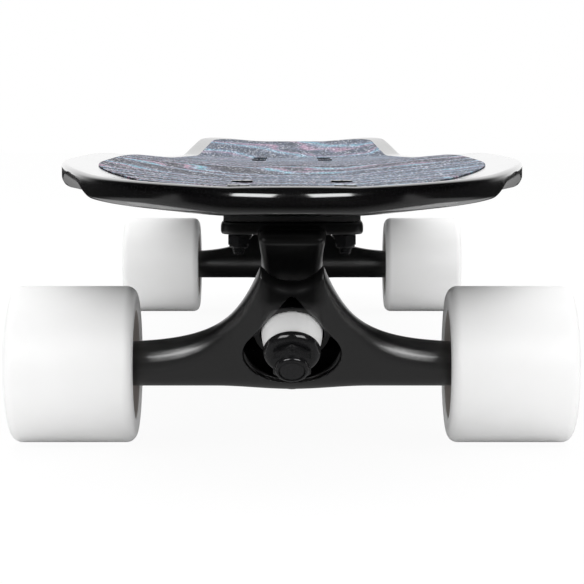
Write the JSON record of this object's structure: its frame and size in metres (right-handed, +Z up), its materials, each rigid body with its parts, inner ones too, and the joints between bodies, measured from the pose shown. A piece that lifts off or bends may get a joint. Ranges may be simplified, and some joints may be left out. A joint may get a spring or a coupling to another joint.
{
  "type": "skateboard",
  "caption": "Cruiser skateboard with a rounded nose, square kicktail, wheel wells, reverse kingpin steering trucks and wide white wheels.",
  "frame": {"origin": "on the floor below the middle of the board's length and width", "axes": "+Z up; Y along the board with the rounded nose at -Y and the square kicktail at +Y; X across the board"},
  "size_m": [0.218, 0.7338, 0.1126],
  "materials": {
    "black_lacquer": "clear gloss lacquer over black stain",
    "printed_grip": "coarse grit over a marbled print",
    "black_rubber": "matt moulded pad",
    "black_painted_casting": "gloss black paint over a cast surface",
    "black_steel": "blackened steel",
    "bright_steel": "bright ground steel",
    "white_urethane": "satin moulded urethane",
    "pivot_urethane": "black moulded urethane"
  },
  "bodies": {
    "board": {"deck": "black_lacquer", "grip_sheet": "printed_grip", "front_riser_pad": "black_rubber", "front_baseplate": "black_painted_casting", "front_pivot_cup": "pivot_urethane", "front_kingpin": "black_steel", "front_kingpin_nut": "black_steel", "front_cup_washer": "black_steel", "front_flat_washer": "black_steel", "front_roadside_bushing": "white_urethane", "front_boardside_bushing": "white_urethane", "front_deck_bolt_1": "black_steel", "front_deck_bolt_2": "black_steel", "front_deck_bolt_3": "black_steel", "front_deck_bolt_4": "black_steel", "front_deck_nut_1": "black_steel", "front_deck_nut_2": "black_steel", "front_deck_nut_3": "black_steel", "front_deck_nut_4": "black_steel", "rear_riser_pad": "black_rubber", "rear_baseplate": "black_painted_casting", "rear_pivot_cup": "pivot_urethane", "rear_kingpin": "black_steel", "rear_kingpin_nut": "black_steel", "rear_cup_washer": "black_steel", "rear_flat_washer": "black_steel", "rear_roadside_bushing": "white_urethane", "rear_boardside_bushing": "white_urethane", "rear_deck_bolt_1": "black_steel", "rear_deck_bolt_2": "black_steel", "rear_deck_bolt_3": "black_steel", "rear_deck_bolt_4": "black_steel", "rear_deck_nut_1": "black_steel", "rear_deck_nut_2": "black_steel", "rear_deck_nut_3": "black_steel", "rear_deck_nut_4": "black_steel"},
    "front_hanger_assembly": {"front_hanger": "black_painted_casting", "front_axle": "bright_steel", "front_left_axle_nut": "black_steel", "front_left_bearing_spacer": "bright_steel", "front_right_axle_nut": "black_steel", "front_right_bearing_spacer": "bright_steel"},
    "front_left_wheel_assembly": {"front_left_wheel": "white_urethane", "front_left_outer_bearing": "bright_steel", "front_left_inner_bearing": "bright_steel"},
    "front_right_wheel_assembly": {"front_right_wheel": "white_urethane", "front_right_outer_bearing": "bright_steel", "front_right_inner_bearing": "bright_steel"},
    "rear_hanger_assembly": {"rear_hanger": "black_painted_casting", "rear_axle": "bright_steel", "rear_left_axle_nut": "black_steel", "rear_left_bearing_spacer": "bright_steel", "rear_right_axle_nut": "black_steel", "rear_right_bearing_spacer": "bright_steel"},
    "rear_left_wheel_assembly": {"rear_left_wheel": "white_urethane", "rear_left_outer_bearing": "bright_steel", "rear_left_inner_bearing": "bright_steel"},
    "rear_right_wheel_assembly": {"rear_right_wheel": "white_urethane", "rear_right_outer_bearing": "bright_steel", "rear_right_inner_bearing": "bright_steel"}
  },
  "joints": [
    {"name": "front_steer", "type": "hinge", "parent": "board", "child": "front_hanger_assembly", "pos_m": [0, -0.28053, 0.04781], "axis": [0, -0.8723, 0.4889], "range_deg": [-15, 15], "stiffness_Nm_per_rad": 20, "deforming": ["front_roadside_bushing", "front_boardside_bushing"]},
    {"name": "front_left_spin", "type": "hinge", "parent": "front_hanger_assembly", "child": "front_left_wheel_assembly", "pos_m": [-0.08475, -0.266, 0.0305], "axis": [1, 0, 0], "continuous": true},
    {"name": "front_right_spin", "type": "hinge", "parent": "front_hanger_assembly", "child": "front_right_wheel_assembly", "pos_m": [0.08475, -0.266, 0.0305], "axis": [1, 0, 0], "continuous": true},
    {"name": "rear_steer", "type": "hinge", "parent": "board", "child": "rear_hanger_assembly", "pos_m": [0, 0.25653, 0.04781], "axis": [0, 0.8723, 0.4889], "range_deg": [-15, 15], "stiffness_Nm_per_rad": 20, "deforming": ["rear_roadside_bushing", "rear_boardside_bushing"]},
    {"name": "rear_left_spin", "type": "hinge", "parent": "rear_hanger_assembly", "child": "rear_left_wheel_assembly", "pos_m": [0.08475, 0.242, 0.0305], "axis": [1, 0, 0], "continuous": true},
    {"name": "rear_right_spin", "type": "hinge", "parent": "rear_hanger_assembly", "child": "rear_right_wheel_assembly", "pos_m": [-0.08475, 0.242, 0.0305], "axis": [1, 0, 0], "continuous": true}
  ]
}
